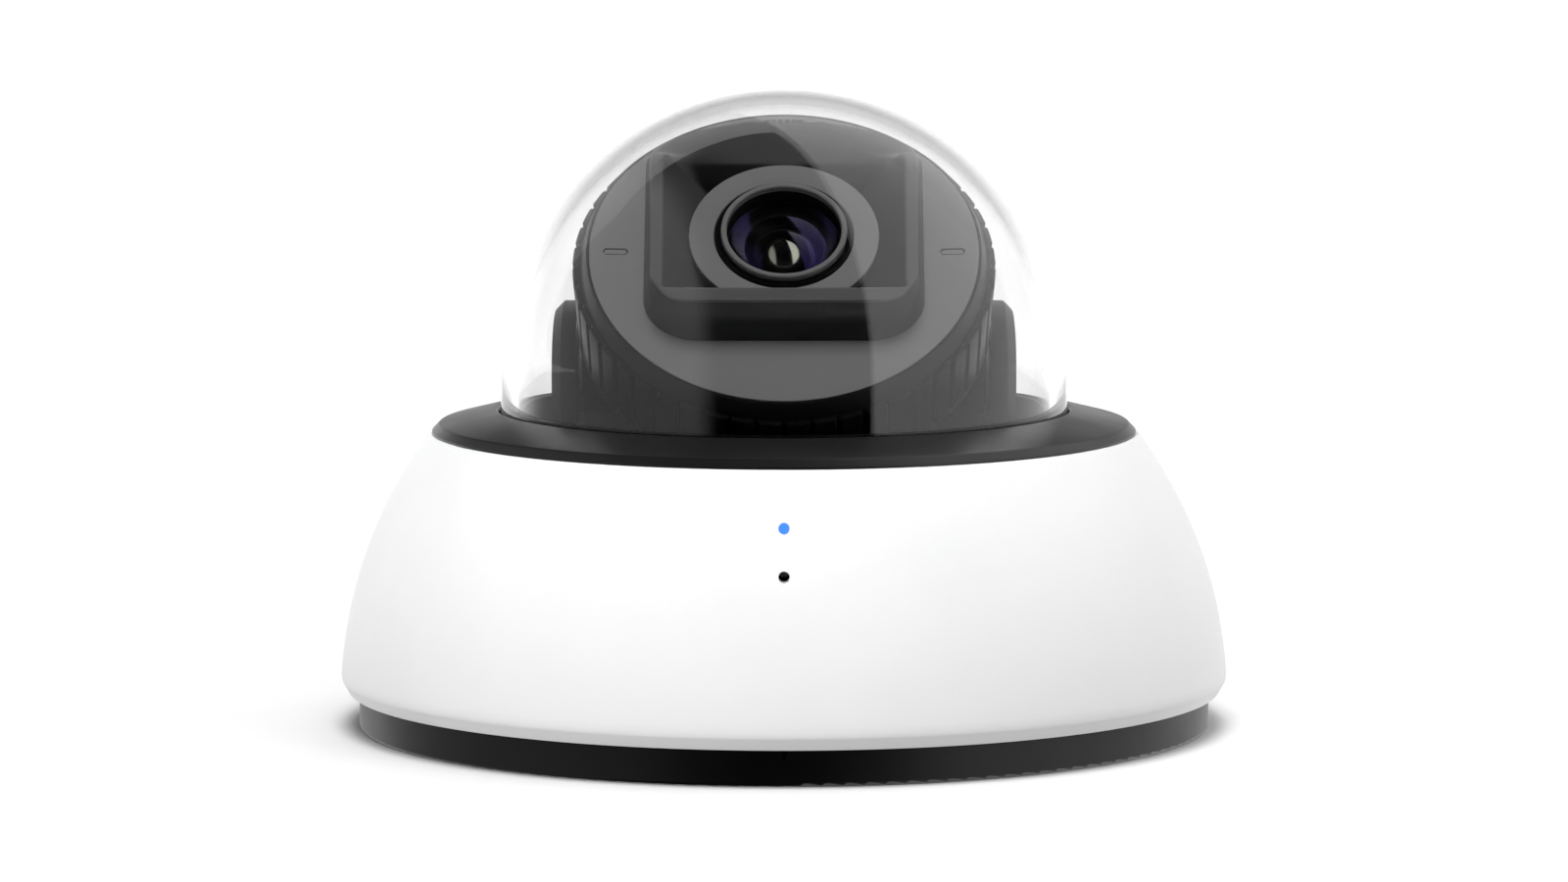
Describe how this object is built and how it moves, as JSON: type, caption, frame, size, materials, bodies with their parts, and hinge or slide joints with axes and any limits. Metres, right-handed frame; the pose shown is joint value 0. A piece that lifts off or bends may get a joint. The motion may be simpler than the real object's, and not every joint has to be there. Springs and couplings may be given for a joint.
{
  "type": "dome security camera",
  "caption": "Round dome security camera with a clear dome over a lens head that pans, tilts and twists, on a dark mounting base.",
  "frame": {"origin": "centre of the mounting base's underside", "axes": "+Z out of the mounting surface through the dome, -Y the way the lens looks at rest, +X to the right seen from the front"},
  "size_m": [0.1596, 0.1596, 0.1145],
  "materials": {
    "cover_white": "satin moulded",
    "trim_black": "satin",
    "base_black": "fine texture",
    "dome_clear": "clear polished",
    "yoke_black": "satin",
    "head_black": "satin",
    "face_grey": "fine texture",
    "hood_grey": "satin",
    "ring_grey": "satin anodised",
    "barrel_black": "matt anodised",
    "lens_glass": "coated",
    "liner_black": "matt",
    "tray_grey": "matt",
    "board_green": "solder mask",
    "component_black": "moulded",
    "jack_shield": "tinned",
    "contact_gold": "gold plated",
    "heat_sink": "bare",
    "screw_steel": "zinc plated",
    "screw_black": "black oxide",
    "washer_nylon": "natural nylon",
    "rubber_black": "matt",
    "button_red": "satin",
    "led_blue": "moulded",
    "light_pipe": "clear moulded"
  },
  "bodies": {
    "base": {"mounting_base": "base_black", "cable_grommet": "rubber_black", "main_board": "board_green", "board_screws": "screw_steel", "processor_heat_sink": "heat_sink", "ethernet_jack": "jack_shield", "ethernet_contacts": "contact_gold", "sd_card_socket": "jack_shield", "reset_switch": "component_black", "front_board": "board_green", "status_led": "led_blue", "microphone": "jack_shield", "camera_tray": "tray_grey", "tray_screws": "screw_steel", "inner_liner": "liner_black", "pan_thrust_washer": "washer_nylon"},
    "reset_button": {"reset_button": "button_red"},
    "turntable": {"turntable": "yoke_black", "pan_retainer": "screw_steel", "pan_screws": "screw_steel", "yoke": "yoke_black", "yoke_screws": "screw_steel"},
    "tilt": {"tilt_frame": "yoke_black", "tilt_pivots": "screw_steel", "tilt_friction_washers": "washer_nylon"},
    "head": {"head_shell": "head_black", "knurl_ring": "head_black", "head_bezel": "head_black", "faceplate": "face_grey", "lens_hood": "hood_grey", "lens_flange": "face_grey", "lens_holder": "head_black", "lens_barrel": "barrel_black", "lens_front_ring": "ring_grey", "front_lens": "lens_glass", "lens_spacer": "barrel_black", "inner_lens": "lens_glass", "rear_lens": "lens_glass", "sensor_board": "board_green", "image_sensor": "component_black", "head_retainer": "head_black", "head_screws": "screw_steel", "rear_heat_sink": "heat_sink"},
    "cover": {"housing_cover": "cover_white", "trim_ring": "trim_black", "dome_bubble": "dome_clear", "dome_gasket": "rubber_black", "dome_clamp_ring": "tray_grey", "clamp_screws": "screw_steel", "cover_screws": "screw_black", "status_light_pipe": "light_pipe", "microphone_boot": "rubber_black"}
  },
  "joints": [
    {"name": "pan", "type": "hinge", "parent": "base", "child": "turntable", "pos_m": [0, 0, 0.022], "axis": [0, 0, 1], "range_deg": [-175, 175]},
    {"name": "tilt", "type": "hinge", "parent": "turntable", "child": "tilt", "pos_m": [0, 0, 0.0637], "axis": [-1, 0, 0], "range_deg": [-36, 44]},
    {"name": "twist", "type": "hinge", "parent": "tilt", "child": "head", "pos_m": [0, 0, 0.0637], "axis": [0, -0.6947, 0.7193], "range_deg": [-175, 175]},
    {"name": "cover_lift", "type": "slide", "parent": "base", "child": "cover", "axis": [0, 0, 1], "range_m": [0, 0.12]},
    {"name": "reset_press", "type": "slide", "parent": "base", "child": "reset_button", "axis": [0, 0, -1], "range_m": [0, 0.0005], "stiffness_N_per_m": 2000, "springref_m": -0.0002}
  ]
}
